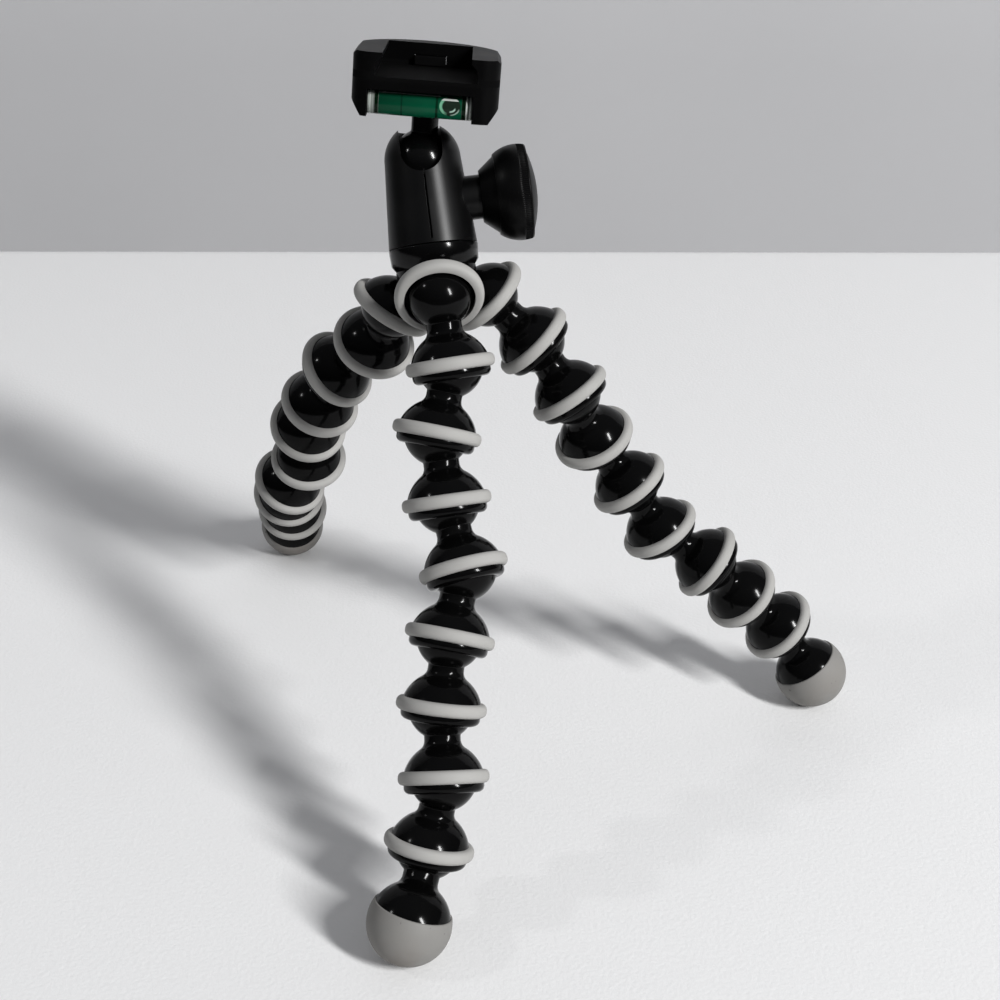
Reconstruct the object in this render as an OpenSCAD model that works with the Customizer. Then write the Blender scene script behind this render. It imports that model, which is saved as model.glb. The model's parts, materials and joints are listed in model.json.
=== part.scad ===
// Flexible leg tripod: three legs of ball-and-socket segments under a small ball head.
// Millimetres, +Z up. The feet stand on Z = 0 and the origin is under the middle of the part.

/* [Leg segments] */
// Radius of every leg ball
ball_r = 10; // [9.4:0.1:10.4]
// Play between a ball and its socket
ball_clearance = 0.1; // [0.06:0.02:0.2]
// Wall of a socket under its ring
socket_wall = 1; // [0.9:0.05:1.4]
// Diameter of the waist between ball and dome
neck_d = 10.6; // [9:0.2:11.6]
// Straight part of the waist
neck_length = 1; // [0.2:0.1:4]
// Fillet that runs from the waist into ball and dome
neck_fillet_r = 3; // [2:0.25:4]
// How deep that fillet bites into ball and dome, so that they join in a clean edge
fillet_bite = 0.03; // [0.02:0.01:0.06]
// How far the dome's centre lies below the ring
dome_drop = 2.6; // [2:0.1:3]
// Step between the ring's seat and the dome
dome_ledge = 0.5; // [0.4:0.1:0.8]
// Step between the ring's seat and the lip
lip_ledge = 1.2; // [0.6:0.1:1.4]
// Height of the lip under the ring
lip_h = 2.1; // [1.7:0.1:2.3]
// Rounding of the lip's lower edge
lip_round = 1.6; // [1:0.1:1.6]

/* [Grip rings] */
// How far a ring stands out from its seat
ring_band = 2.9; // [2.6:0.1:3.4]
// Height of a ring's band
ring_h = 4.2; // [3.8:0.1:4.8]

/* [Feet] */
// Straight part of a foot's waist
foot_neck = 2; // [0.5:0.25:5]
// Radius of the rubber cup
cup_r = 12.7; // [12:0.1:14]
// Thickness of the rubber cup
cup_wall = 1.1; // [0.8:0.1:1.6]
// Height of the cup's rim above its middle
cup_rim = 4; // [2:0.5:5]
// Gap between a foot's dome and its cup
cup_gap = 0.05; // [0.03:0.01:0.1]

/* [Hub] */
// Distance of the socket centres from the hub's axis
socket_circle_r = 18; // [17.5:0.5:22]
// Angle of the sockets below the hub's plane
socket_angle = 45; // [40:1:50]
// How far the wall of a hub socket reaches below its centre
hub_rim = 0.5; // [0.2:0.1:0.7]
// Radius of the column over the sockets
column_r = 12.8; // [12.4:0.1:13.6]
// Height of the column's top above the socket centres
column_top = 10; // [9:0.5:14]
// How far the column reaches below the socket centres
column_bottom = 4; // [2:0.5:6]
// Height of the pan base
pan_h = 7; // [5:0.5:9]
// Radius of the pan base
pan_r = 14.3; // [13.5:0.1:15]
// Radius of the pivot that the head turns on
pivot_r = 6; // [4:0.25:7]
// Length of that pivot
pivot_h = 5; // [3:0.5:7]
// Seam between the pan base and the housing
seam = 0.2; // [0.1:0.05:0.3]

/* [Head] */
// Radius of the head's ball
head_ball_r = 10; // [9:0.1:10.6]
// Height of the head's ball over the pan base
head_ball_h = 27.4; // [26:0.2:32]
// Radius of the housing at its foot
housing_foot_r = 14.2; // [13.5:0.1:15]
// Radius of the housing round the ball
housing_r = 12.2; // [11.9:0.1:12.8]
// Height of the housing's rim above the ball's centre
housing_rim = 10.1; // [8.8:0.1:10.2]
// Radius of the mouth that the stem comes out of
mouth_r = 6.9; // [6.6:0.1:7.1]
// Radius of the stem
stem_r = 4.25; // [3.5:0.05:4.6]
// Half the width of the tilt notch
notch_r = 6.6; // [6.4:0.1:7.4]
// Height of the notch's round end above the ball's centre
notch_rise = 1.8; // [0:0.1:2.4]
// Width of the slit that lets the housing grip
slit_w = 0.6; // [0.4:0.1:1.6]
// Wall between the slit and the pivot
slit_wall = 1; // [0.6:0.1:2]
// Height of the slit's lower end over the pan base
slit_rise = 1.5; // [1:0.25:4]
// How far the ball leans to the knob's side
side_lean = 11; // [-12:1:12]
// How far the ball leans to the front, into the notch
fore_lean = 18; // [0:1:40]
// Play of the head's ball, pivot and screw
head_clearance = 0.08; // [0.05:0.01:0.1]

/* [Lock knob] */
// Radius of the knob's rim at its widest
knob_r = 15.2; // [14:0.1:16]
// Length of the knob's cone at the back
cone_l = 4.9; // [4:0.1:6]
// Step from the cone to the rim
rim_ledge = 0.6; // [0.2:0.1:1]
// Length of the rim
rim_l = 10.6; // [9:0.1:12]
// Distance from the rim's back to its widest place
rim_peak = 7.3; // [6:0.1:8.5]
// Step from the rim to the face
face_ledge = 1.5; // [0.8:0.1:2]
// Rise of the domed face
face_rise = 2.5; // [1.5:0.1:3.5]
// Radius of the knob where it meets the boss
knob_back_r = 8.2; // [7.6:0.1:9]
// Radius of the arc that swells the rim
rim_swell_r = 12; // [11:0.5:20]
// Depth of the knob's axis below the ball's centre
knob_drop = 13.4; // [12.6:0.1:14]
// Number of grip flutes round the rim's front
flutes = 60; // [24:1:72]
// Radius of a flute
flute_r = 0.5; // [0.3:0.05:0.6]
// Radius of the lock screw
screw_r = 3; // [2:0.1:3.5]
// Radius of the boss that the knob closes on
boss_r = 7; // [6:0.1:7.4]
// Distance of the boss's face from the head's axis
boss_reach = 17; // [16:0.1:18]
// Gap between the screw's tip and the ball
screw_gap = 0.4; // [0.2:0.05:0.8]

/* [Clamp] */
// Width over both jaws
clamp_w = 45; // [42:0.5:52]
// Depth of the clamp, from its face to the back of its round end
clamp_d = 45; // [42:0.5:50]
// Distance of the clamp's face from the ball's axis
clamp_front = 20; // [18:0.5:22]
// Height of the clamp
clamp_h = 19.1; // [18.5:0.1:22]
// Height of the cheeks' lower edge above the ball's centre
clamp_bottom = 15.5; // [15:0.1:18]
// Rounding of the clamp's upright front corners
corner_r = 6; // [3:0.5:8]
// Thickness of the left cheek
left_cheek_w = 5; // [4:0.25:6]
// Thickness of the right cheek
right_cheek_w = 8; // [5:0.25:9]
// Width of the chamfer along the cheeks' lower edges
chamfer_w = 3; // [2:0.25:3.5]
// Height of that chamfer
chamfer_h = 4.5; // [3:0.25:6]
// Thickness of the bridge under the plate
bridge_h = 3.8; // [3:0.1:4.2]
// Width of the channel's opening
channel_w = 27; // [24:0.5:30]
// Undercut of each jaw
jaw_undercut = 2; // [1:0.25:2.5]
// Height of the jaws' overhang
jaw_lip_h = 1.5; // [1:0.1:2]
// Bevel along the outside of each jaw's top
jaw_bevel = 1.2; // [0.6:0.1:2]
// Thickness of the wall behind the plate, at its middle
rear_wall = 8; // [7:0.25:9]
// Radius of the spirit level
vial_r = 4; // [3.5:0.1:4.3]
// Height of the spirit level above the cheeks' lower edge
vial_rise = 0.2; // [0.1:0.1:1]
// How far the spirit level lies behind the clamp's face
vial_setback = 1.5; // [0.5:0.1:3]
// Height of the collar round the stem
collar_h = 2; // [1:0.1:3]
// Wall of that collar
collar_wall = 2; // [1.5:0.1:3]
// Width of the plate latch
latch_w = 10; // [6:0.5:14]
// Height of the plate latch
latch_h = 3; // [2:0.1:4]
// Travel of the plate latch
latch_travel = 2.4; // [1.5:0.1:3]
// Thickness of the latch's tab
latch_tab = 2; // [1.5:0.1:3]
// Depth of the latch's tab below its bolt
tab_drop = 3; // [2:0.1:5]
// Play round the plate latch
latch_gap = 0.2; // [0.1:0.05:0.3]

/* [Hidden] */
$fn = 64;

leg_names = ["front", "right", "left"];
leg_angles = [-90, 30, 150];
segments = 8;

// Bends in degrees at each ball from the hub to the foot, as the tripod stands.
// Fore-and-aft bends fold a leg in under the hub, sideways bends swing it across.
fore_bends = [
    [45, -3, -1, -8, 2, 5, -7, 12, -24],
    [4, 11, -8, 2, 2, -14, 0, 0, 15],
    [-13, -12, 14, -5, 15, -17, 0, 7, -1]
];
side_bends = [
    [2, -20, 19, 6, -25, 4, 9, -14, -3],
    [-7, 2, 24, -18, 3, -16, 19, -5, -3],
    [-31, 16, -12, -10, -3, 12, -22, -1, 4]
];

// Sizes of a segment that follow from the driving ones
socket_r = ball_r + ball_clearance;
seat_r = socket_r + socket_wall;
neck_r = neck_d / 2;
lip_r = seat_r + lip_ledge;
dome_r = norm([seat_r + dome_ledge, ring_h / 2 + dome_drop]);
fillet_x = neck_r + neck_fillet_r;
function fillet_rise(r) = sqrt(pow(r + neck_fillet_r - fillet_bite, 2) - pow(fillet_x, 2));
ball_fillet_z = -fillet_rise(ball_r);
pitch = fillet_rise(ball_r) + neck_length + fillet_rise(dome_r) - dome_drop;
tube_r = ring_h / 2;
ring_r = seat_r + ring_band;
lip_drop = tube_r + lip_h;
foot_dome_r = cup_r - cup_wall;
foot_reach = fillet_rise(ball_r) + foot_neck + fillet_rise(foot_dome_r);

// Heights along the hub's axis, from the plane of its socket centres
pan_top = column_top + pan_h;
head_ball_z = pan_top + head_ball_h;
knob_z = head_ball_z - knob_drop;
slit_end = pivot_r + slit_wall;

// Heights in the clamp, from the centre of the head's ball
clamp_top = clamp_bottom + clamp_h;
bridge_z = clamp_bottom + vial_rise + 2 * vial_r;
channel_z = bridge_z + bridge_h;
stem_top = bridge_z + bridge_h / 2;
vial_left = left_cheek_w - clamp_w / 2;
vial_right = clamp_w / 2 - right_cheek_w;
clamp_rear = clamp_d - clamp_front;
latch_y = clamp_rear - rear_wall;
latch_z = channel_z + latch_gap;

// Radii of the knob, z along its axis from the back of the rim
function rim_r(z) = knob_r - rim_swell_r + sqrt(pow(rim_swell_r, 2) - pow(z - rim_peak, 2));
face_r = rim_r(rim_l) - face_ledge;
face_bulge_r = (pow(face_r, 2) + pow(face_rise, 2)) / (2 * face_rise);

function turn_x(a) = [[1, 0, 0], [0, cos(a), -sin(a)], [0, sin(a), cos(a)]];
function turn_y(a) = [[cos(a), 0, sin(a)], [0, 1, 0], [-sin(a), 0, cos(a)]];
function turn_z(a) = [[cos(a), -sin(a), 0], [sin(a), cos(a), 0], [0, 0, 1]];
function unit(v) = v / norm(v);

// Turn of the k-th piece of a leg in the hub's frame: 0 is the hub's socket, 9 the foot
function leg_turn(leg, k) = k == 0
    ? turn_z(leg_angles[leg]) * turn_y(-socket_angle)
    : leg_turn(leg, k - 1) * turn_y(fore_bends[leg][k - 1]) * turn_x(side_bends[leg][k - 1]);
function reach(k) = k > segments ? foot_reach : pitch;
// Centre of the k-th socket of a leg, and of its foot as the last one
function leg_point(leg, k) = k == 0
    ? turn_z(leg_angles[leg]) * [socket_circle_r, 0, 0]
    : leg_point(leg, k - 1) + leg_turn(leg, k) * [0, 0, -reach(k)];

// The hub's frame is turned so that all three feet touch the floor
feet = [for (leg = [0 : 2]) leg_point(leg, segments + 1)];
up = unit(cross(feet[1] - feet[0], feet[2] - feet[0]));
back = unit([0, 1, 0] - up * up.y);
stand_turn = [cross(back, up), back, up];

// Middle of the part over the floor, from the outermost rings and feet
function ring_half(axis) = [for (c = axis) (ring_r - tube_r) * sqrt(1 - c * c) + tube_r];
ring_spans = [for (leg = [0 : 2], k = [1 : segments])
    let (at = stand_turn * leg_point(leg, k))
    let (half = ring_half(stand_turn * leg_turn(leg, k) * [0, 0, 1]))
    [at - half, at + half]];
cup_half = cup_r * [1, 1, 1];
foot_spans = [for (foot = feet)
    let (at = stand_turn * foot)
    [at - cup_half, at + cup_half]];
spans = concat(ring_spans, foot_spans);
function middle(i) = (min([for (s = spans) s[0][i]]) + max([for (s = spans) s[1][i]])) / 2;
stand_shift = [-middle(0), -middle(1), cup_r - feet[0] * up];

// Turns the children and then moves them to a point
module place(turn, at) {
    multmatrix([for (i = [0 : 2]) concat(turn[i], [at[i]])]) children();
}

// Draws the children of the hub's frame where the tripod stands
module stand() {
    place(stand_turn, stand_shift) children();
}

// Draws the children in the frame of the k-th piece of a leg, with its ball at the origin
module on_leg(leg, k) {
    stand() place(leg_turn(leg, k), leg_point(leg, k - 1)) children();
}

// Draws the children round the axis of the head's ball, leaning as the photographed head does
module on_ball() {
    stand() translate([0, 0, head_ball_z]) rotate([fore_lean, side_lean, 0]) children();
}

// A ball with the waist under it, which runs into a dome of radius r centred at z
module ball_and_neck(r, z) {
    dome_fillet_z = z + fillet_rise(r);
    sphere(ball_r);
    rotate_extrude()
        difference() {
            polygon([[0, 0], [fillet_x, ball_fillet_z], [fillet_x, dome_fillet_z], [0, z]]);
            for (fillet_z = [ball_fillet_z, dome_fillet_z])
                translate([fillet_x, fillet_z])
                    circle(neck_fillet_r);
            translate([neck_r, dome_fillet_z])
                square([neck_fillet_r, ball_fillet_z - dome_fillet_z]);
        }
}

// The dome over a socket, down to the ring's upper edge, and the ring's seat under it
module dome_cap() {
    intersection() {
        translate([0, 0, -dome_drop])
            sphere(dome_r);
        translate([0, 0, tube_r])
            cylinder(r = dome_r, h = dome_r);
    }
    translate([0, 0, -tube_r])
        cylinder(r = seat_r, h = ring_h);
}

// The lip that keeps a ring on, rounded along its lower edge
module lip() {
    translate([0, 0, -lip_drop]) {
        cylinder(r = lip_r - lip_round, h = lip_round);
        translate([0, 0, lip_round])
            cylinder(r = lip_r, h = lip_h - lip_round);
    }
    translate([0, 0, -lip_drop + lip_round])
        rotate_extrude()
            translate([lip_r - lip_round, 0])
                circle(lip_round);
}

module segment_body() {
    difference() {
        union() {
            ball_and_neck(dome_r, -pitch - dome_drop);
            translate([0, 0, -pitch]) {
                dome_cap();
                lip();
            }
        }
        translate([0, 0, -pitch]) {
            sphere(socket_r);
            ring_groove();
        }
    }
}

// Room for a ring round its seat
module ring_groove() {
    difference() {
        cylinder(r = 2 * ring_r, h = ring_h, center = true);
        cylinder(r = seat_r, h = 2 * ring_h, center = true);
    }
}

module grip_ring() {
    rotate_extrude()
        intersection() {
            translate([ring_r - tube_r, 0])
                circle(tube_r);
            translate([seat_r, -ring_h])
                square([ring_r, 2 * ring_h]);
        }
}

module leg_segment(leg, k) {
    color("#161616")
        on_leg(leg, k)
            segment_body();
}

module leg_ring(leg, k) {
    color("#a9a6a0")
        on_leg(leg, k)
            translate([0, 0, -pitch])
                grip_ring();
}

// A foot holds two solids: the dome with its ball, and the rubber cup pressed over it
module leg_foot(leg) {
    on_leg(leg, segments + 1) {
        color("#161616") {
            ball_and_neck(foot_dome_r, -foot_reach);
            translate([0, 0, -foot_reach])
                sphere(foot_dome_r);
        }
        color("#a9a6a0")
            translate([0, 0, -foot_reach])
                difference() {
                    sphere(cup_r);
                    sphere(foot_dome_r + cup_gap);
                    translate([0, 0, cup_rim])
                        cylinder(r = 2 * cup_r, h = 2 * cup_r);
                }
    }
}

// Draws the children at each of the hub's sockets, with the socket facing down
module at_sockets() {
    for (leg = [0 : 2])
        place(leg_turn(leg, 0), leg_point(leg, 0))
            children();
}

// A hub socket has a dome and a short seat but no lip, so that a leg folds right in
module hub() {
    color("#161616")
        stand()
            difference() {
                union() {
                    translate([0, 0, -column_bottom])
                        cylinder(r = column_r, h = column_top + column_bottom);
                    at_sockets()
                        dome_cap();
                }
                at_sockets() {
                    sphere(socket_r);
                    ring_groove();
                    translate([0, 0, -hub_rim - 2 * ring_r])
                        cylinder(r = 2 * ring_r, h = 2 * ring_r);
                }
            }
}

module hub_rings() {
    color("#a9a6a0")
        stand()
            at_sockets()
                grip_ring();
}

module pan_base() {
    color("#202020")
        stand() {
            translate([0, 0, column_top])
                cylinder(r1 = column_r, r2 = pan_r, h = pan_h);
            translate([0, 0, column_top])
                cylinder(r = pivot_r, h = pan_h + pivot_h);
        }
}

// The housing's outside: a tapered foot, a round top over the ball and a boss for the knob
module housing_outside() {
    translate([0, 0, pan_top + seam])
        cylinder(r1 = housing_foot_r, r2 = housing_r, h = head_ball_h - seam);
    translate([0, 0, head_ball_z])
        intersection() {
            sphere(housing_r);
            cylinder(r = 2 * housing_r, h = housing_rim);
        }
    translate([0, 0, knob_z])
        rotate([0, 90, 0])
            cylinder(r = boss_r, h = boss_reach);
}

module head_housing() {
    color("#161616")
        stand()
            difference() {
                housing_outside();
                translate([0, 0, head_ball_z]) {
                    sphere(head_ball_r + head_clearance);
                    cylinder(r = mouth_r, h = 2 * housing_r);
                    tilt_notch();
                }
                translate([0, 0, pan_top])
                    cylinder(r = pivot_r + head_clearance, h = pivot_h + 2 * seam);
                translate([0, 0, knob_z])
                    rotate([0, 90, 0])
                        cylinder(r = screw_r + head_clearance, h = 2 * boss_reach);
                translate([-slit_w / 2, -2 * housing_foot_r, pan_top + slit_rise])
                    cube([slit_w, 2 * housing_foot_r - slit_end, head_ball_h - slit_rise]);
            }
}

// U-notch in the front of the housing, round at its foot and open at the rim
module tilt_notch() {
    translate([0, 0, notch_rise])
        rotate([90, 0, 0])
            cylinder(r = notch_r, h = 2 * housing_foot_r);
    translate([-notch_r, -2 * housing_foot_r, notch_rise])
        cube([2 * notch_r, 2 * housing_foot_r, 2 * housing_rim]);
}

module ball_stem() {
    color("#2b2b2b")
        on_ball() {
            sphere(head_ball_r);
            cylinder(r = stem_r, h = stem_top);
        }
}

module lock_knob() {
    tip = sqrt(max(pow(screw_gap, 2), pow(head_ball_r + screw_gap, 2) - pow(knob_drop - screw_r, 2)));
    color("#1b1b1b")
        stand()
            translate([0, 0, knob_z])
                rotate([0, 90, 0]) {
                    translate([0, 0, boss_reach + head_clearance])
                        difference() {
                            knob_grip();
                            for (i = [0 : flutes - 1])
                                rotate([0, 0, i * 360 / flutes])
                                    translate([knob_r + flute_r / 4, 0, cone_l + rim_peak])
                                        cylinder(r = flute_r, h = rim_l);
                        }
                    translate([0, 0, tip])
                        cylinder(r = screw_r, h = boss_reach + cone_l - tip);
                }
}

// The knob: a cone at the back, a rim that swells to its widest, and a domed face
module knob_grip() {
    cylinder(r1 = knob_back_r, r2 = rim_r(0) - rim_ledge, h = cone_l);
    translate([0, 0, cone_l]) {
        rotate_extrude()
            intersection() {
                translate([knob_r - rim_swell_r, rim_peak])
                    circle(rim_swell_r);
                square([knob_r, rim_l]);
            }
        intersection() {
            translate([0, 0, rim_l + face_rise - face_bulge_r])
                sphere(face_bulge_r);
            cylinder(r = face_r, h = rim_l + face_rise);
        }
    }
}

// Outline of the clamp from the front: two cheeks, a bridge and two undercut jaws
module clamp_outline() {
    half = clamp_w / 2;
    slot = channel_w / 2;
    jaw_z = clamp_top - jaw_lip_h;
    polygon([
        [-half, clamp_bottom + chamfer_h],
        [-half + chamfer_w, clamp_bottom],
        [vial_left, clamp_bottom],
        [vial_left, bridge_z],
        [vial_right, bridge_z],
        [vial_right, clamp_bottom],
        [half - chamfer_w, clamp_bottom],
        [half, clamp_bottom + chamfer_h],
        [half, clamp_top - jaw_bevel],
        [half - jaw_bevel, clamp_top],
        [slot, clamp_top],
        [slot, jaw_z],
        [slot + jaw_undercut, jaw_z - jaw_undercut],
        [slot + jaw_undercut, channel_z],
        [-slot - jaw_undercut, channel_z],
        [-slot - jaw_undercut, jaw_z - jaw_undercut],
        [-slot, jaw_z],
        [-slot, clamp_top],
        [-half + jaw_bevel, clamp_top],
        [-half, clamp_top - jaw_bevel]
    ]);
}

// Upright block with the clamp's plan: rounded front corners and a half-round rear end
module clamp_plan() {
    end_r = clamp_w / 2;
    end_y = clamp_rear - end_r;
    corner_x = end_r - corner_r;
    corner_y = corner_r - clamp_front;
    translate([0, 0, clamp_bottom]) {
        translate([-end_r, corner_y, 0])
            cube([clamp_w, end_y - corner_y, clamp_h]);
        translate([-corner_x, -clamp_front, 0])
            cube([2 * corner_x, clamp_front + end_y, clamp_h]);
        for (x = [-corner_x, corner_x])
            translate([x, corner_y, 0])
                cylinder(r = corner_r, h = clamp_h);
        translate([0, end_y, 0])
            cylinder(r = end_r, h = clamp_h);
    }
}

module clamp_body() {
    color("#161616")
        on_ball()
            difference() {
                union() {
                    intersection() {
                        union() {
                            translate([0, clamp_rear, 0])
                                rotate([90, 0, 0])
                                    linear_extrude(clamp_d)
                                        clamp_outline();
                            translate([-channel_w / 2 - jaw_undercut, latch_y, bridge_z])
                                cube([channel_w + 2 * jaw_undercut, rear_wall, clamp_top - bridge_z]);
                        }
                        clamp_plan();
                    }
                    translate([0, 0, bridge_z - collar_h])
                        cylinder(r = stem_r + collar_wall, h = collar_h + bridge_h / 2);
                }
                cylinder(r = stem_r + head_clearance, h = stem_top + head_clearance);
                translate([-latch_w / 2 - latch_gap, latch_y, latch_z - latch_gap])
                    cube([latch_w + 2 * latch_gap, clamp_d, latch_h + 2 * latch_gap]);
            }
}

// Spring bolt through the rear wall: its nose holds the plate, and its tab pulls it back
module plate_latch() {
    color("#2b2b2b")
        on_ball()
            translate([0, 0, latch_z]) {
                translate([-latch_w / 2, latch_y - latch_travel + latch_gap, 0])
                    cube([latch_w, rear_wall + latch_travel + latch_tab, latch_h]);
                translate([-latch_w / 2, clamp_rear + latch_gap, -tab_drop])
                    cube([latch_w, latch_tab, tab_drop + latch_h]);
            }
}

module level_vial() {
    color("#0b6b4a")
        on_ball()
            translate([vial_left, vial_setback + vial_r - clamp_front, bridge_z - vial_r])
                rotate([0, 90, 0])
                    cylinder(r = vial_r, h = vial_right - vial_left);
}

hub();
hub_rings();
pan_base();
head_housing();
ball_stem();
lock_knob();
clamp_body();
plate_latch();
level_vial();
for (leg = [0 : 2], k = [1 : segments]) {
    leg_segment(leg, k);
    leg_ring(leg, k);
}
for (leg = [0 : 2])
    leg_foot(leg);
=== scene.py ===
import json
import math

import bmesh
import bpy
import numpy as np
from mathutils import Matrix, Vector


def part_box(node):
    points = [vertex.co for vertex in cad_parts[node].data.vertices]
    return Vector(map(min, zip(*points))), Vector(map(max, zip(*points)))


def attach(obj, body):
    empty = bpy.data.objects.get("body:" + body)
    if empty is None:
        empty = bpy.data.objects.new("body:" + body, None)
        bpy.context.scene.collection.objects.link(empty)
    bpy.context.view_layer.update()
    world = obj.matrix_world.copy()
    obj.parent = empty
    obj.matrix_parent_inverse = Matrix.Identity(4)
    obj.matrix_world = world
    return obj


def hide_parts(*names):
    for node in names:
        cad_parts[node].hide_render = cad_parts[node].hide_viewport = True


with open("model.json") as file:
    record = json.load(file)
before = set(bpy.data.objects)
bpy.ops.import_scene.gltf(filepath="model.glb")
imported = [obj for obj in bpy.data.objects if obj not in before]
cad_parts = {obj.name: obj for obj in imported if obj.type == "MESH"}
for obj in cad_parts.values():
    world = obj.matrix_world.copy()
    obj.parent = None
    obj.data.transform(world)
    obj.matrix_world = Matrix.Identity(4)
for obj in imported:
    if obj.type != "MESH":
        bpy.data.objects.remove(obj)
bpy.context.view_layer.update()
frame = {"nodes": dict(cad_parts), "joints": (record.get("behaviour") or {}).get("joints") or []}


# Table top and wall behind it: a plain pale cloth that ends in a soft edge, and a plain grey
# backdrop. They aren't part of the tripod. The light is one window from the front right, a small
# weak lamp from the left and a dim sky, which looks pale only to the camera.
class Shade:
    """A value in a material's node tree. Sums, differences, products and powers of values add
    Math nodes, and node() adds any other node."""

    def __init__(self, tree, socket=None):
        self.tree = tree
        self.socket = socket

    def node(self, kind, settings, inputs, output=0):
        """Adds a node of that type, sets its settings first and then its sockets by name or number,
        and returns one of its outputs as a value."""
        made = self.tree.nodes.new(kind)
        for key, value in settings.items():
            setattr(made, key, value)
        for key, value in inputs.items():
            if isinstance(value, Shade):
                self.tree.links.new(value.socket, made.inputs[key])
            else:
                made.inputs[key].default_value = value
        return Shade(self.tree, made.outputs[output])

    def math(self, operation, first, second):
        """The result of one Math node on two values."""
        return self.node("ShaderNodeMath", {"operation": operation}, {0: first, 1: second})

    def __add__(self, other):
        return self.math("ADD", self, other)

    def __sub__(self, other):
        return self.math("SUBTRACT", self, other)

    def __rsub__(self, other):
        return self.math("SUBTRACT", other, self)

    def __mul__(self, other):
        return self.math("MULTIPLY", self, other)

    def __pow__(self, other):
        return self.math("POWER", self, other)

    __radd__ = __add__
    __rmul__ = __mul__


def new_material(name):
    """An empty material with no nodes, and a value to build its tree from."""
    material = bpy.data.materials.new(name)
    material.use_nodes = True
    material.node_tree.nodes.clear()
    return material, Shade(material.node_tree)


def finish_material(shade, inputs):
    """Links a surface shader with these sockets to the material's output."""
    surface = shade.node("ShaderNodeBsdfPrincipled", {}, inputs)
    output = shade.tree.nodes.new("ShaderNodeOutputMaterial")
    shade.tree.links.new(surface.socket, output.inputs["Surface"])


def own_place(shade):
    """The place of a point on its piece as the tripod stands at rest, in metres."""
    return shade.node("ShaderNodeTexCoord", {}, {}, "Object")


def grain(shade, scale, detail=2.0):
    """Noise of about 1/scale metres on the piece's own coordinates, from 0 to 1."""
    return shade.node("ShaderNodeTexNoise", {}, {
        "Vector": own_place(shade), "Scale": scale, "Detail": detail})


def bumped(height, strength, depth):
    """Normal of a surface that rises by up to depth metres where the height is 1."""
    return height.node("ShaderNodeBump", {}, {
        "Strength": strength, "Distance": depth, "Height": height})


def mixed(shade, share, first, second):
    """Colour that goes from the first to the second as share goes from 0 to 1."""
    return shade.node("ShaderNodeMix", {"data_type": "RGBA"}, {0: share, 6: first, 7: second}, 2)


def ramp(value, start, end):
    """Goes from 0 to 1 as the value goes from start to end."""
    return value.node("ShaderNodeMapRange", {}, {
        "Value": value, "From Min": start, "From Max": end})


def mesh_object(name, points, faces, material):
    """A mesh object at the origin from arrays of points and faces, smooth up to an angle."""
    sharp = 40.0
    mesh = bpy.data.meshes.new(name)
    mesh.from_pydata(points.tolist(), [], faces.tolist())
    mesh.polygons.foreach_set("use_smooth", np.ones(len(mesh.polygons), bool))
    mesh.set_sharp_from_angle(angle=math.radians(sharp))
    mesh.materials.append(material)
    made = bpy.data.objects.new(name, mesh)
    bpy.context.scene.collection.objects.link(made)
    return made


def grid_faces(rows, columns, closed):
    """Faces of a grid of points, row by row; a closed grid joins its last column to its first."""
    row, column = np.meshgrid(np.arange(rows - 1), np.arange(columns if closed else columns - 1),
                              indexing="ij")
    after = (column + 1) % columns
    corners = [row * columns + column, row * columns + after,
               (row + 1) * columns + after, (row + 1) * columns + column]
    return np.stack(corners, axis=-1).reshape(-1, 4)


table_back = 0.512
table_half = 1.4
table_front = -0.9
table_round = 0.03
wall_back = 0.95
wall_half = 2.2
wall_top = 1.6
set_bottom = -0.6
drop = np.linspace(0, math.pi / 2, 9)
table_y = np.concatenate([
    [table_front], table_back - table_round + table_round * np.sin(drop), [table_back]])
table_z = np.concatenate([[0], table_round * (np.cos(drop) - 1), [set_bottom]])
table_x = np.array([-table_half, table_half])
table_grid = np.broadcast_arrays(table_x, table_y[:, None], table_z[:, None])
table_points = np.stack(table_grid, axis=-1).reshape(-1, 3)

cloth, shade = new_material("table_cloth")
cloth_bump = bumped(grain(shade, 700.0, 3.0), 0.25, 0.0005)
finish_material(shade, {
    "Base Color": (0.80, 0.80, 0.80, 1), "Roughness": 1.0, "IOR": 1.2, "Normal": cloth_bump})
table_faces = grid_faces(len(table_y), len(table_x), False)[:, ::-1]
table = mesh_object("table_top", table_points, table_faces, cloth)

plain_wall, shade = new_material("plain_wall")
wall_tone = grain(shade, 3.0)
finish_material(shade, {
    "Base Color": mixed(shade, wall_tone, (0.50, 0.50, 0.51, 1), (0.55, 0.55, 0.56, 1)),
    "Roughness": 0.9})
wall_points = np.array([[-wall_half, wall_back, set_bottom], [wall_half, wall_back, set_bottom],
                        [wall_half, wall_back, wall_top], [-wall_half, wall_back, wall_top]])
wall = mesh_object("back_wall", wall_points, np.array([[0, 1, 2, 3]]), plain_wall)


def window_lamp(name, bearing, height, reach, width, tall, watts):
    """An area lamp on a bearing in degrees to the right of the front, at an angle over the table,
    turned to the middle of the tripod."""
    aim = Vector((-0.02, 0.0, 0.1))
    turn, lift = math.radians(bearing), math.radians(height)
    away = Vector((math.sin(turn) * math.cos(lift), -math.cos(turn) * math.cos(lift),
                   math.sin(lift)))
    data = bpy.data.lights.new(name, "AREA")
    data.shape = "RECTANGLE"
    data.size = width
    data.size_y = tall
    data.energy = watts
    lamp = bpy.data.objects.new(name, data)
    lamp.location = aim + reach * away
    lamp.rotation_euler = (-away).to_track_quat("-Z", "Y").to_euler()
    bpy.context.scene.collection.objects.link(lamp)


window_lamp("key_window", bearing=45, height=33, reach=4.0, width=0.36, tall=1.4, watts=203.0)
window_lamp("side_lamp", bearing=-78, height=40, reach=2.0, width=0.12, tall=0.12, watts=3.0)

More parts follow.
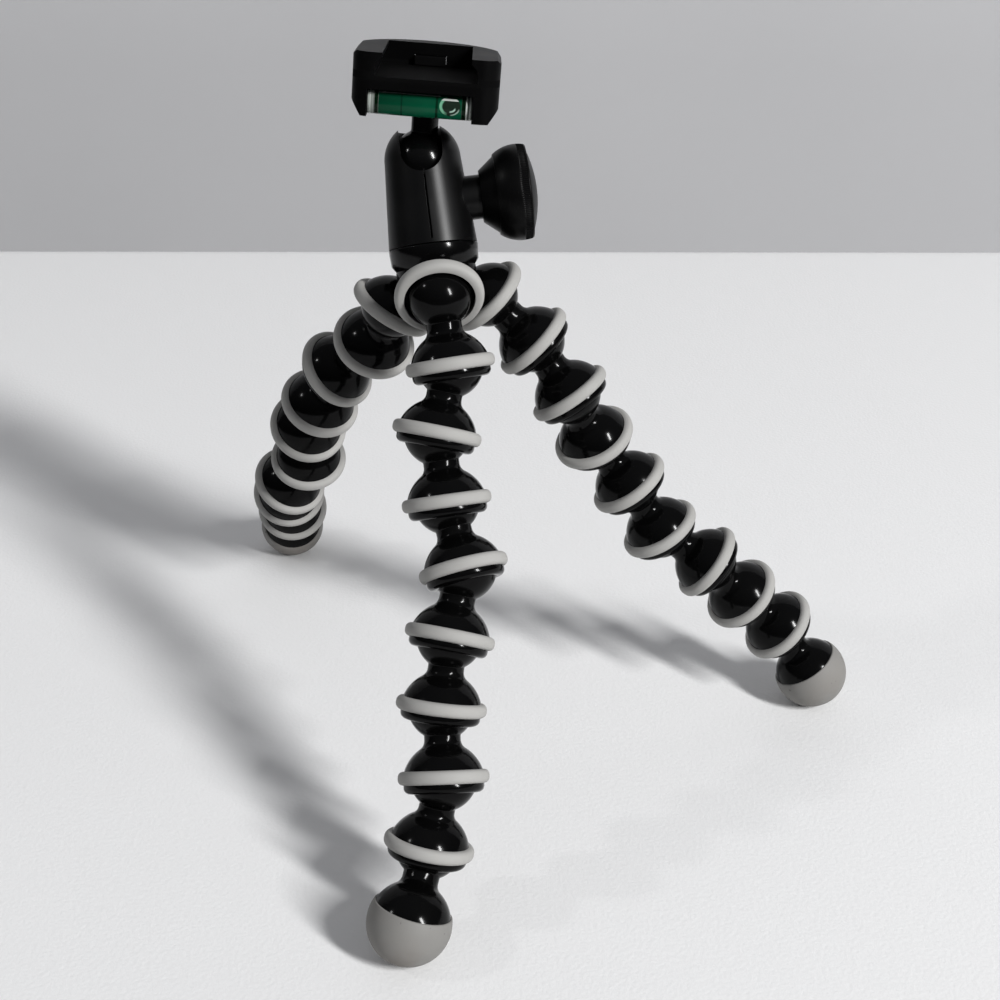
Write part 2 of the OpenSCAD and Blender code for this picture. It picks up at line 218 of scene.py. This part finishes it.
world = bpy.data.worlds.new("dim_horizon_sky")
world.use_nodes = True
sky = Shade(world.node_tree)
look = sky.node("ShaderNodeTexCoord", {}, {}, "Generated")
rise = sky.node("ShaderNodeSeparateXYZ", {}, {0: look}, "Z")
lit_sky = mixed(sky, ramp(rise, 0.0, 1.0), (0.02, 0.02, 0.022, 1), (0.25, 0.255, 0.27, 1))
seen = sky.node("ShaderNodeLightPath", {}, {}, "Is Camera Ray")
world.node_tree.links.new(mixed(sky, seen, lit_sky, (0.44, 0.445, 0.455, 1)).socket,
                          world.node_tree.nodes["Background"].inputs["Color"])
bpy.context.scene.world = world
bpy.context.scene.view_settings.view_transform = "Standard"


# Camera: solved from the places of the rings in the photograph, so that each ball of the three legs
# falls where it does there.
camera_data = bpy.data.cameras.new("photo_camera")
camera_data.lens = 59.256
camera_data.sensor_width = 36.0
camera_data.clip_start = 0.01
camera = bpy.data.objects.new("photo_camera", camera_data)
camera.location = (-0.033767, -0.492181, 0.362293)
camera.rotation_euler = [math.radians(angle) for angle in (61.142, -0.682, -1.670)]
bpy.context.scene.collection.objects.link(camera)
bpy.context.scene.camera = camera


# Leg segments: glossy black moulded plastic, a ball, a waist and a dome with the next socket in it.
# Each ball snaps into the socket before it. All are alike, but the first of each leg has a smaller
# ball.
mm = 0.001
leg_names = ("front", "right", "left")
links = 8
leg_columns = 72
pivots = {joint["child"]: Vector(joint["pos_m"]) for joint in frame["joints"] if "pos_m" in joint}
hub_ball_r = 10 * mm
ball_r = 10.4 * mm
ball_play = 0.1 * mm
socket_r = ball_r + ball_play
socket_wall = 0.6 * mm
seat_r = socket_r + socket_wall
neck_r = 5.6 * mm
ball_fillet = 0.6 * mm
dome_fillet = 3 * mm
ring_half = 2.1 * mm
dome_drop = 1.9 * mm
dome_edge_r = 12.0 * mm
dome_r = math.hypot(dome_edge_r, ring_half + dome_drop)
lip_r = 12.3 * mm
lip_top = 1.6 * mm
lip_drop = 4.8 * mm
lip_round = 1.9 * mm
edge_round = 0.25 * mm


def fillet_rise(radius, fillet):
    """Height of a waist fillet's centre over the centre of the sphere that it runs into."""
    return math.sqrt((radius + fillet) ** 2 - (neck_r + fillet) ** 2)


def arc(x, z, radius, start, end, steps):
    """Points of an arc round (x, z) from one angle to another, in degrees from the +X side."""
    angle = np.radians(np.linspace(start, end, steps))
    return np.stack([x + radius * np.cos(angle), z + radius * np.sin(angle)], axis=-1)


def revolve(profile, columns):
    """Surface of revolution: each profile point (radius, height) goes round Z in equal steps, and a
    profile that runs downwards has its outside to the right."""
    turn = np.linspace(0, 2 * math.pi, columns, endpoint=False)
    points = np.stack([profile[:, :1] * np.cos(turn), profile[:, :1] * np.sin(turn),
                       np.broadcast_to(profile[:, 1:], (len(profile), columns))], axis=-1)
    return points.reshape(-1, 3), grid_faces(len(profile), columns, True)[:, ::-1]


def placed(points, at, axis):
    """Points turned so that +Z runs along axis, and moved so that the origin lies at a point."""
    turn = Vector((0, 0, 1)).rotation_difference(Vector(axis)).to_matrix()
    return points @ np.array(turn).T + np.array(at)


def put(name, points, faces, material, body, nodes):
    """A piece from points and faces that rides on a body and the nodes that it
    replaces. Points that lie in one place, such as a pole's, are merged."""
    merge_gap = 1e-6
    piece = mesh_object(name, points, faces, material)
    shell = bmesh.new()
    shell.from_mesh(piece.data)
    bmesh.ops.remove_doubles(shell, verts=shell.verts, dist=merge_gap)
    shell.to_mesh(piece.data)
    shell.free()
    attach(piece, body)
    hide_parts(*nodes)
    return piece


def ball_to_dome(ball, dome_z, dome):
    """Profile from a ball's pole down its waist to where the waist meets a dome."""
    ball_drop = fillet_rise(ball, ball_fillet)
    dome_rise = fillet_rise(dome, dome_fillet)
    ball_angle = math.degrees(math.atan2(-ball_drop, neck_r + ball_fillet))
    dome_angle = math.degrees(math.atan2(dome_rise, neck_r + dome_fillet))
    return np.concatenate([
        arc(0, 0, ball, 90, ball_angle, 26),
        arc(neck_r + ball_fillet, -ball_drop, ball_fillet, 180 + ball_angle, 180, 6)[1:],
        arc(neck_r + dome_fillet, dome_z + dome_rise, dome_fillet, 180, 180 + dome_angle, 9),
    ]), dome_angle


pitch = (pivots["front_link_1"] - pivots["front_link_2"]).length
dome_z = -pitch - dome_drop
dome_edge_angle = math.degrees(math.atan2(ring_half + dome_drop, dome_edge_r))
lip_z = -pitch - lip_drop
mouth_angle = math.degrees(math.atan2(-lip_drop, math.sqrt(socket_r ** 2 - lip_drop ** 2)))


def segment_shell(ball):
    """Surface of a segment with a ball of that radius: ball, waist, dome, groove for the ring, lip
    and the socket's inside, all turned round one axis."""
    upper, dome_angle = ball_to_dome(ball, dome_z, dome_r)
    return revolve(np.concatenate([
        upper,
        arc(0, dome_z, dome_r, dome_angle, dome_edge_angle, 14)[1:],
        [[seat_r, -pitch + ring_half], [seat_r, -pitch - lip_top]],
        arc(lip_r - edge_round, -pitch - lip_top - edge_round, edge_round, 90, 0, 4),
        arc(lip_r - lip_round, lip_z + lip_round, lip_round, 0, -90, 7),
        arc(0, -pitch, socket_r, mouth_angle, 90, 22)]), leg_columns)


def chain(leg):
    """Each link of a leg from the hub down: its number, its body, and the points of its ball and of
    its socket."""
    bodies = [f"{leg}_link_{k}" for k in range(1, links + 1)] + [f"{leg}_foot"]
    return [(k, bodies[k - 1], pivots[bodies[k - 1]], pivots[bodies[k]])
            for k in range(1, links + 1)]


gloss_black, shade = new_material("gloss_black_plastic")
haze = grain(shade, 70.0, 3.0)
peel_bump = bumped(grain(shade, 420.0), 0.06, 0.0002)
finish_material(shade, {
    "Base Color": mixed(shade, haze, (0.0010, 0.0010, 0.0011, 1), (0.0025, 0.0025, 0.0025, 1)),
    "Roughness": 0.09 + 0.09 * haze, "IOR": 1.2, "Normal": peel_bump})

for leg in leg_names:
    for k, body, ball_at, socket_at in chain(leg):
        points, faces = segment_shell(hub_ball_r if k == 1 else ball_r)
        put(f"{leg}_segment_shell_{k}", placed(points, ball_at, ball_at - socket_at), faces,
            gloss_black, body, [f"{leg}_segment_{k}"])


# Grip rings: warm grey rubber bands with a round outside, each stretched into the groove of its
# socket. Twenty-four ride on the legs and three on the hub's sockets.
ring_r = 14 * mm
band_r = ring_half
ring_square = 0.8
ring_columns = 96
band_middle = ring_r - band_r
inner_angle = 90 + math.degrees(math.asin(((band_middle - seat_r) / band_r) ** (1 / ring_square)))


def squared(circle):
    """Points of a unit circle moved out to a superellipse: each coordinate keeps its sign and its
    size is raised to a power under one."""
    return np.sign(circle) * np.abs(circle) ** ring_square


ring_profile = np.concatenate([
    squared(arc(0, 0, 1, inner_angle, -inner_angle, 33)) * band_r + [band_middle, 0],
    [[seat_r, band_r * math.sin(math.radians(inner_angle)) ** ring_square]]])
ring_points, ring_faces = revolve(ring_profile, ring_columns)

grip_rubber, shade = new_material("grey_grip_rubber")
stain = grain(shade, 55.0, 4.0)
rubber_bump = bumped(grain(shade, 2600.0, 3.0), 0.18, 0.00012)
finish_material(shade, {
    "Base Color": mixed(shade, stain, (0.30, 0.296, 0.284, 1), (0.365, 0.36, 0.347, 1)),
    "Roughness": 0.62 + 0.2 * stain, "IOR": 1.38, "Normal": rubber_bump})

for leg in leg_names:
    for k, body, ball_at, socket_at in chain(leg):
        put(f"{leg}_grip_ring_{k}", placed(ring_points, socket_at, ball_at - socket_at), ring_faces,
            grip_rubber, body, [f"{leg}_ring_{k}"])

joints = {joint["name"]: joint for joint in frame["joints"]}
head_up = Vector(joints["head_pan"]["axis"])
pan_centre = Vector(joints["head_pan"]["pos_m"])
for leg in leg_names:
    socket = pivots[f"{leg}_link_1"]
    radial = (socket - pan_centre) - (socket - pan_centre).dot(head_up) * head_up
    put(f"{leg}_hub_grip_ring", placed(ring_points, socket, head_up - radial.normalized()),
        ring_faces, grip_rubber, "hub", ["hub_rings"])


# Feet: a ball and dome of the same black plastic, with a grey rubber cup pressed over the dome's
# lower half. The cups are scuffed and dusty where they stand, and the front one is turned on its
# dome.
solid_cup_r = 12.7 * mm
cup_r = 13.0 * mm
cup_wall = 0.45 * mm
cup_gap = 0.05 * mm
cup_rim = 4.6 * mm
rim_round = 0.4 * mm
slipped_cups = {"front": Vector((0.28, 0.39, 0.88))}
foot_dome_r = cup_r - cup_wall
foot_reach = 23.7 * mm
foot_upper, foot_angle = ball_to_dome(ball_r, -foot_reach, foot_dome_r)
foot_profile = np.concatenate([
    foot_upper, arc(0, -foot_reach, foot_dome_r, foot_angle, -90, 30)[1:]])
foot_points, foot_faces = revolve(foot_profile, leg_columns)
rim_x = math.sqrt((cup_r - rim_round) ** 2 - (cup_rim - rim_round) ** 2)
rim_angle = math.degrees(math.atan2(cup_rim - rim_round, rim_x))
lining_r = foot_dome_r + cup_gap
lining_angle = math.degrees(math.asin(cup_rim / lining_r))
cup_profile = np.concatenate([
    arc(rim_x, cup_rim - rim_round, rim_round, 90, rim_angle, 6),
    arc(0, 0, cup_r, rim_angle, -90, 32)[1:],
    arc(0, 0, lining_r, -90, lining_angle, 24),
    [[rim_x, cup_rim]]])
cup_points, cup_faces = revolve(cup_profile, ring_columns)

cup_rubber, shade = new_material("scuffed_cup_rubber")
scuff_height = 26 * mm
stain = grain(shade, 60.0, 4.0)
height = shade.node("ShaderNodeSeparateXYZ", {}, {0: own_place(shade)}, "Z")
worn = ramp(height, scuff_height, 0.0)
patch = ramp(stain, 0.42, 0.66)
scuff = worn * patch * 0.75
specks = ramp(grain(shade, 420.0, 1.0), 0.73, 0.80)
rubber_bump = bumped(grain(shade, 2600.0, 3.0), 0.18, 0.00012)
clean_cup = mixed(shade, stain, (0.175, 0.171, 0.162, 1), (0.228, 0.223, 0.212, 1))
scuffed_cup = mixed(shade, scuff, clean_cup, (0.165, 0.145, 0.128, 1))
finish_material(shade, {
    "Base Color": mixed(shade, specks * 0.7, scuffed_cup, (0.03, 0.028, 0.026, 1)),
    "Roughness": 0.55 + 0.2 * stain + 0.2 * scuff, "IOR": 1.45, "Normal": rubber_bump})

for leg in leg_names:
    body = f"{leg}_foot"
    low, high = (np.array(corner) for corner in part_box(body))
    pivot = np.array(pivots[body])
    foot_centre = np.where(high - solid_cup_r > pivot, high - solid_cup_r, low + solid_cup_r)
    foot_axis = Vector(pivot - foot_centre).normalized()
    put(f"{leg}_foot_dome", placed(foot_points, pivot, foot_axis), foot_faces,
        gloss_black, body, [body])
    cup_at = pivot - foot_reach * np.array(foot_axis)
    put(f"{leg}_foot_cup", placed(cup_points, cup_at, slipped_cups.get(leg, foot_axis)), cup_faces,
        cup_rubber, body, [body])


# Hub: one moulding in the same glossy black plastic, a short column with three domed sockets. Its
# edges are softly rounded by the mould.
def moulded(name, node, body, material, edge):
    """A copy of a solid's mesh, merged and with its flat faces joined, whose edges get a bevel."""
    merge_gap = 2e-6
    flat = 0.4
    sharp = 30.0
    mesh = frame["nodes"][node].data.copy()
    mesh.name = name
    solid = bmesh.new()
    solid.from_mesh(mesh)
    bmesh.ops.remove_doubles(solid, verts=solid.verts, dist=merge_gap)
    bmesh.ops.dissolve_limit(solid, angle_limit=math.radians(flat), verts=solid.verts,
                             edges=solid.edges)
    solid.to_mesh(mesh)
    solid.free()
    if "custom_normal" in mesh.attributes:
        mesh.attributes.remove(mesh.attributes["custom_normal"])
    mesh.polygons.foreach_set("use_smooth", np.ones(len(mesh.polygons), bool))
    mesh.set_sharp_from_angle(angle=math.radians(sharp))
    mesh.materials.clear()
    mesh.materials.append(material)
    piece = bpy.data.objects.new(name, mesh)
    bpy.context.scene.collection.objects.link(piece)
    bevel = piece.modifiers.new("rounded_edges", "BEVEL")
    bevel.width = edge
    bevel.segments = 3
    bevel.limit_method = "ANGLE"
    bevel.angle_limit = math.radians(sharp)
    bevel.use_clamp_overlap = True
    bevel.harden_normals = True
    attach(piece, body)
    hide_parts(node)


moulded("hub_moulding", "hub", "hub", gloss_black, 0.5 * mm)


# Pan base: a black anodised disc that widens to the top, with the pivot pin that the head turns on.
# It is turned from bar and screwed to the hub.
pan_h = 7 * mm
pan_foot_r = 12.8 * mm
pan_r = 14.3 * mm
pin_r = 6 * mm
pin_h = 5 * mm
pan_round = 0.5 * mm
pan_waist_r = 13.95 * mm
pan_taper = 1.8 * mm
pan_profile = np.concatenate([
    [[0, pin_h], [pin_r - pan_round, pin_h]],
    arc(pin_r - pan_round, pin_h - pan_round, pan_round, 90, 0, 4),
    [[pin_r, 0]],
    arc(pan_r - pan_round, -pan_round, pan_round, 90, -4, 6),
    [[pan_waist_r, pan_taper - pan_h]],
    arc(pan_foot_r - pan_round, pan_round - pan_h, pan_round, -30, -90, 5),
    [[0, -pan_h]]])
pan_points, pan_faces = revolve(pan_profile, ring_columns)

turned_black, shade = new_material("turned_black_aluminium")
cloud = grain(shade, 120.0, 3.0)
fleck_bump = bumped(grain(shade, 3000.0), 0.12, 0.00006)
finish_material(shade, {
    "Base Color": mixed(shade, cloud, (0.001, 0.001, 0.0011, 1), (0.0025, 0.0025, 0.0026, 1)),
    "Roughness": 0.10 + 0.08 * cloud, "IOR": 1.26, "Normal": fleck_bump})
put("pan_disc", placed(pan_points, pan_centre, head_up), pan_faces, turned_black, "hub",
    ["pan_base"])


# Head housing: a die-cast bullet with the ball's seat in it, a U-notch for the stem at the front,
# a boss for the knob's screw and a thin clamp slit. Painted a deep gloss black.
gloss_paint, shade = new_material("gloss_black_paint")
cloud = grain(shade, 90.0, 3.0)
paint_bump = bumped(grain(shade, 900.0), 0.05, 0.0001)
finish_material(shade, {
    "Base Color": mixed(shade, cloud, (0.001, 0.001, 0.0011, 1), (0.0025, 0.0025, 0.0026, 1)),
    "Roughness": 0.31 + 0.08 * cloud, "IOR": 1.29, "Normal": paint_bump})
moulded("housing_casting", "head_housing", "head", gloss_paint, 0.4 * mm)


# Ball and stem: one turned piece, polished and blackened. The ball sits in the housing, and the
# stem runs up into the clamp's collar.
head_ball_r = 10 * mm
stem_r = 4.25 * mm
stem_top = 25.6 * mm
stem_fillet = 1.2 * mm
stem_fillet_x = stem_r + stem_fillet
stem_fillet_z = math.sqrt((head_ball_r + stem_fillet) ** 2 - stem_fillet_x ** 2)
stem_angle = math.degrees(math.atan2(stem_fillet_z, stem_fillet_x))
stem_profile = np.concatenate([
    [[0, stem_top], [stem_r, stem_top]],
    arc(stem_fillet_x, stem_fillet_z, stem_fillet, 180, 180 + stem_angle, 8),
    arc(0, 0, head_ball_r, stem_angle, -90, 40)[1:]])
stem_points, stem_faces = revolve(stem_profile, ring_columns)
ball_centre = Vector(joints["ball_tilt"]["pos_m"])
clamp_up = Vector(joints["clamp_swivel"]["axis"])
put("ball_and_stem", placed(stem_points, ball_centre, clamp_up), stem_faces, turned_black, "ball",
    ["ball_stem"])


# Lock knob: satin black plastic moulded over a steel screw. A cone at the back, a rim that swells
# and carries fine ribs next to its front, and a domed face.
knob_r = 15.2 * mm
cone_l = 4.9 * mm
cone_back_r = 8.2 * mm
rim_step = 0.6 * mm
rim_l = 10.6 * mm
rim_peak = 7.3 * mm
rim_swell = 12 * mm
face_step = 1.5 * mm
face_rise = 2.5 * mm
screw_r = 3 * mm
knob_back = 17.08 * mm
screw_tip = 0.4 * mm
rib_count = 150
rib_depth = 0.22 * mm
rib_start = 7.6 * mm
rib_end = 10.1 * mm
rib_fade = 0.25 * mm
rib_shoulder = 0.12 * mm
face_groove = 0.1 * mm
columns_a_rib = 6
front_round = 0.3 * mm


def rim_radius(z):
    """Radius of the swelling rim at a distance from its back edge: an arc, widest at its peak."""
    return knob_r - rim_swell + np.sqrt(rim_swell ** 2 - (z - rim_peak) ** 2)


front_r = float(rim_radius(rim_l))
face_r = front_r - face_step
bulge_r = (face_r ** 2 + face_rise ** 2) / (2 * face_rise)
bulge_angle = math.degrees(math.asin(face_r / bulge_r))
rim_z = np.concatenate([
    np.linspace(rim_l - front_round, rib_end, 3), [rib_end - rib_shoulder],
    np.linspace(rib_end - rib_fade, rib_start + rib_fade, 6), [rib_start + rib_shoulder],
    np.linspace(rib_start, 0, 14)])
knob_profile = np.concatenate([
    arc(0, rim_l + face_rise - bulge_r, bulge_r, 90, 90 - bulge_angle, 14),
    [[face_r + face_groove, rim_l - face_groove], [front_r - 2 * front_round, rim_l]],
    arc(front_r - front_round, rim_l - front_round, front_round, 90, 15, 5),
    np.stack([rim_radius(rim_z), rim_z], axis=-1),
    [[float(rim_radius(0)) - rim_step, 0], [cone_back_r, -cone_l], [screw_r, -cone_l],
     [screw_r, screw_tip - knob_back - cone_l], [0, screw_tip - knob_back - cone_l]]])
knob_columns = columns_a_rib * rib_count
knob_r_along, knob_z_along = knob_profile[:, :1], knob_profile[:, 1:]
rib_share = np.clip((knob_z_along - rib_start) / rib_fade, 0, 1)
rib_share = rib_share * np.clip((rib_end - knob_z_along) / rib_fade, 0, 1) * (knob_r_along > face_r)
around = np.linspace(0, 2 * math.pi, knob_columns, endpoint=False)
rib_radius = knob_r_along - rib_depth * rib_share * (0.5 - 0.5 * np.cos(rib_count * around))
knob_points = np.stack([rib_radius * np.cos(around), rib_radius * np.sin(around),
                        np.broadcast_to(knob_z_along, rib_radius.shape)], axis=-1).reshape(-1, 3)
knob_faces = grid_faces(len(knob_profile), knob_columns, True)[:, ::-1]

satin_black, shade = new_material("satin_black_plastic")
cloud = grain(shade, 100.0, 3.0)
satin_bump = bumped(grain(shade, 2200.0), 0.15, 0.00008)
finish_material(shade, {
    "Base Color": mixed(shade, cloud, (0.001, 0.001, 0.0011, 1), (0.003, 0.003, 0.003, 1)),
    "Roughness": 0.30 + 0.12 * cloud, "IOR": 1.17, "Normal": satin_bump})
knob_axis = Vector(joints["knob_turn"]["axis"])
knob_at = Vector(joints["knob_turn"]["pos_m"]) + (knob_back + cone_l) * knob_axis
put("lock_knob_moulding", placed(knob_points, knob_at, knob_axis), knob_faces, satin_black,
    "knob", ["lock_knob"])


# Clamp: a black anodised aluminium block with two undercut jaws, a bridge over the level and a rear
# wall. Machined edges are broken all round, and the channel's floor is duller than the jaws.
channel_low = 26.8 * mm
channel_high = 28.6 * mm
channel_soft = 0.3 * mm


def band(value, start, end, soft):
    """1 where the value lies between start and end, with soft edges."""
    return ramp(value, start - soft, start) * ramp(value, end + soft, end)


anodised, shade = new_material("black_anodised_aluminium")
height = shade.node("ShaderNodeVectorMath", {"operation": "DOT_PRODUCT"},
                    {0: own_place(shade), 1: clamp_up}, "Value")
over_ball = height - ball_centre.dot(clamp_up)
channel = band(over_ball, channel_low, channel_high, channel_soft)
cloud = grain(shade, 80.0, 3.0)
blast_bump = bumped(grain(shade, 2800.0), 0.15, 0.00006)
finish_material(shade, {
    "Base Color": mixed(shade, cloud, (0.0008, 0.0008, 0.0009, 1), (0.002, 0.002, 0.0021, 1)),
    "Roughness": 0.36 + 0.10 * cloud + 0.45 * channel, "IOR": 1.13, "Normal": blast_bump})
moulded("clamp_block", "clamp_body", "clamp", anodised, 0.35 * mm)


# Plate latch: a small steel spring bolt through the rear wall, blackened, with a tab to pull it
# back by. Its nose keeps a plate from sliding out.
bolt_steel, shade = new_material("blackened_steel")
cloud = grain(shade, 150.0, 3.0)
bolt_bump = bumped(grain(shade, 1800.0), 0.12, 0.00005)
finish_material(shade, {
    "Base Color": mixed(shade, cloud, (0.0008, 0.0008, 0.0009, 1), (0.002, 0.002, 0.0021, 1)),
    "Roughness": 0.6 + 0.15 * cloud, "IOR": 1.12, "Normal": bolt_bump})
moulded("spring_bolt", "plate_latch", "latch", bolt_steel, 0.3 * mm)


# Level: a clear acrylic tube of green spirit with a bubble, two dark seals and two lines. It is
# glued between the cheeks, under the front of the bridge. Its colour holds painted light: a painted
# glow in the spirit, painted reflections in the clear ends, a painted highlight along the tube, and
# a bubble in painted shade with painted highlights on its rims. In its material, places along the
# tube and up it are in millimetres.
vial_r = 4 * mm
vial_l = 32 * mm
vial_round = 0.5 * mm
vial_left = -17.5 * mm
vial_y = -14.5 * mm
vial_z = 19.7 * mm
vial_rows = 80
vial_columns = 64
clamp_side = Vector(joints["ball_tilt"]["axis"])
clamp_back = clamp_up.cross(clamp_side)
vial_at = ball_centre + vial_left * clamp_side + vial_y * clamp_back + vial_z * clamp_up
vial_profile = np.concatenate([
    [[0, vial_l]],
    arc(vial_r - vial_round, vial_l - vial_round, vial_round, 90, 0, 5),
    np.stack([np.full(vial_rows, vial_r),
              np.linspace(vial_l - vial_round, vial_round, vial_rows)], axis=-1)[1:-1],
    arc(vial_r - vial_round, vial_round, vial_round, 0, -90, 5),
    [[0, 0]]])
vial_points, vial_faces = revolve(vial_profile, vial_columns)
vial_points = placed(vial_points, vial_at, clamp_side)

spirit, shade = new_material("green_spirit_in_acrylic")
along = shade.node("ShaderNodeAttribute", {"attribute_name": "along"}, {}, "Fac")
rising = shade.node("ShaderNodeAttribute", {"attribute_name": "rising"}, {}, "Fac")
facing = shade.node("ShaderNodeAttribute", {"attribute_name": "facing"}, {}, "Fac")

ripple = grain(shade, 260.0)
# Painted reflection: light and dark streaks along the clear ends that stand in for reflections in
# the clear acrylic.
painted_reflection_streaks = shade.node("ShaderNodeTexNoise", {"noise_dimensions": "1D"},
                     {"W": along, "Scale": 1.7, "Detail": 3.0})
# Painted light: the spirit is painted brighter towards the bottom of the tube and towards its right
# end, where light gathers in it, with a little random ripple.
painted_glow = ramp(along, 2.0, 18.0) * 0.45 + ramp(rising, 0.5, -3.2) * 0.4 + ripple * 0.15
green = mixed(shade, painted_glow, (0.0006, 0.018, 0.008, 1), (0.003, 0.075, 0.036, 1))
# Colour of the clear ends: painted reflection streaks between dark and light grey.
clear = mixed(shade, ramp(painted_reflection_streaks, 0.35, 0.65), (0.05, 0.06, 0.052, 1), (0.42, 0.45, 0.42, 1))
left_line = band(along, 10.3, 10.7, 0.12)
right_line = band(along, 20.9, 21.5, 0.15)
tint = mixed(shade, band(along, 3.5, 28.8, 0.1), clear, green)
tint = mixed(shade, left_line * 0.75, tint, (0.001, 0.014, 0.007, 1))
tint = mixed(shade, right_line, tint, (0.001, 0.016, 0.007, 1))

bubble_at = 25.2
bubble_l = 3.3
bubble_h = 2.9
bubble_rise = 0.1
spread_along = (along - bubble_at) * (1 / bubble_l)
spread_up = (rising - bubble_rise) * (1 / bubble_h)
spread = spread_along ** 2 + spread_up ** 2
# The bubble's outline. Its inside is painted dark, which is painted shade, and its rims carry
# painted light: a light crescent at the left, bright arcs low down and inside, and a painted
# highlight along its top.
bubble = ramp(spread, 1.0, 0.92) * ramp(facing, 0.0, 0.1)
painted_left_crescent = band(spread, 0.58, 0.88, 0.14) * ramp(along, bubble_at - 0.6, bubble_at - 2.0)
painted_low_rim_light = band(spread, 0.74, 0.9, 0.07) * band(along, bubble_at + 0.6, bubble_at + 2.6, 0.5)
painted_low_rim_light = painted_low_rim_light * ramp(rising, bubble_rise - 0.4, bubble_rise - 1.0)
painted_inner_rim_light = band(spread, 0.26, 0.36, 0.07) * band(along, bubble_at + 0.2, bubble_at + 1.6, 0.3)
painted_inner_rim_light = painted_inner_rim_light * ramp(rising, bubble_rise - 0.2, bubble_rise - 0.8)
painted_bubble_top_highlight = band(rising, bubble_rise + 1.75, bubble_rise + 2.2, 0.15)
painted_bubble_top_highlight = painted_bubble_top_highlight * band(along, 22.6, 28.2, 0.2)
painted_rim_highlight = shade.math("MAXIMUM", painted_low_rim_light * 0.7, painted_inner_rim_light)
# Painted highlight: a thin light line along the top of the tube.
painted_tube_highlight = band(rising, 2.75, 3.0, 0.1) * band(along, 0.5, 22.0, 0.5)
# Painted shade inside the bubble, then painted light on its rims and a painted highlight on its
# top.
tint = mixed(shade, bubble, tint, (0.010, 0.018, 0.012, 1))
tint = mixed(shade, bubble * painted_left_crescent, tint, (0.13, 0.33, 0.21, 1))
tint = mixed(shade, bubble * painted_rim_highlight, tint, (0.30, 0.44, 0.36, 1))
tint = mixed(shade, bubble * painted_bubble_top_highlight, tint, (0.62, 0.65, 0.62, 1))
tint = mixed(shade, painted_tube_highlight * 0.5, tint, (0.30, 0.33, 0.31, 1))
seals = shade.math("MAXIMUM", band(along, 2.3, 3.3, 0.15), band(along, 28.9, 30.0, 0.15))
tint = mixed(shade, seals, tint, (0.001, 0.006, 0.002, 1))
finish_material(shade, {
    "Base Color": tint, "Roughness": 0.05 + 0.05 * ripple, "IOR": 1.2})
vial = put("spirit_level", vial_points, vial_faces, spirit, "clamp", ["level_vial"])
places = np.empty(len(vial.data.vertices) * 3)
vial.data.vertices.foreach_get("co", places)
from_end = places.reshape(-1, 3) - np.array(vial_at)
side = np.array(clamp_side)
across = from_end - (from_end @ side)[:, None] * side
bubble_turn = math.radians(86)
bubble_side = np.array(math.cos(bubble_turn) * clamp_up - math.sin(bubble_turn) * clamp_back)
bubble_top = np.array(math.sin(bubble_turn) * clamp_up + math.cos(bubble_turn) * clamp_back)
vial_fields = {"along": from_end @ side / mm, "rising": across @ bubble_top / mm,
               "facing": across @ bubble_side / vial_r}
for field, values in vial_fields.items():
    vial.data.attributes.new(field, "FLOAT", "POINT").data.foreach_set("value", values)
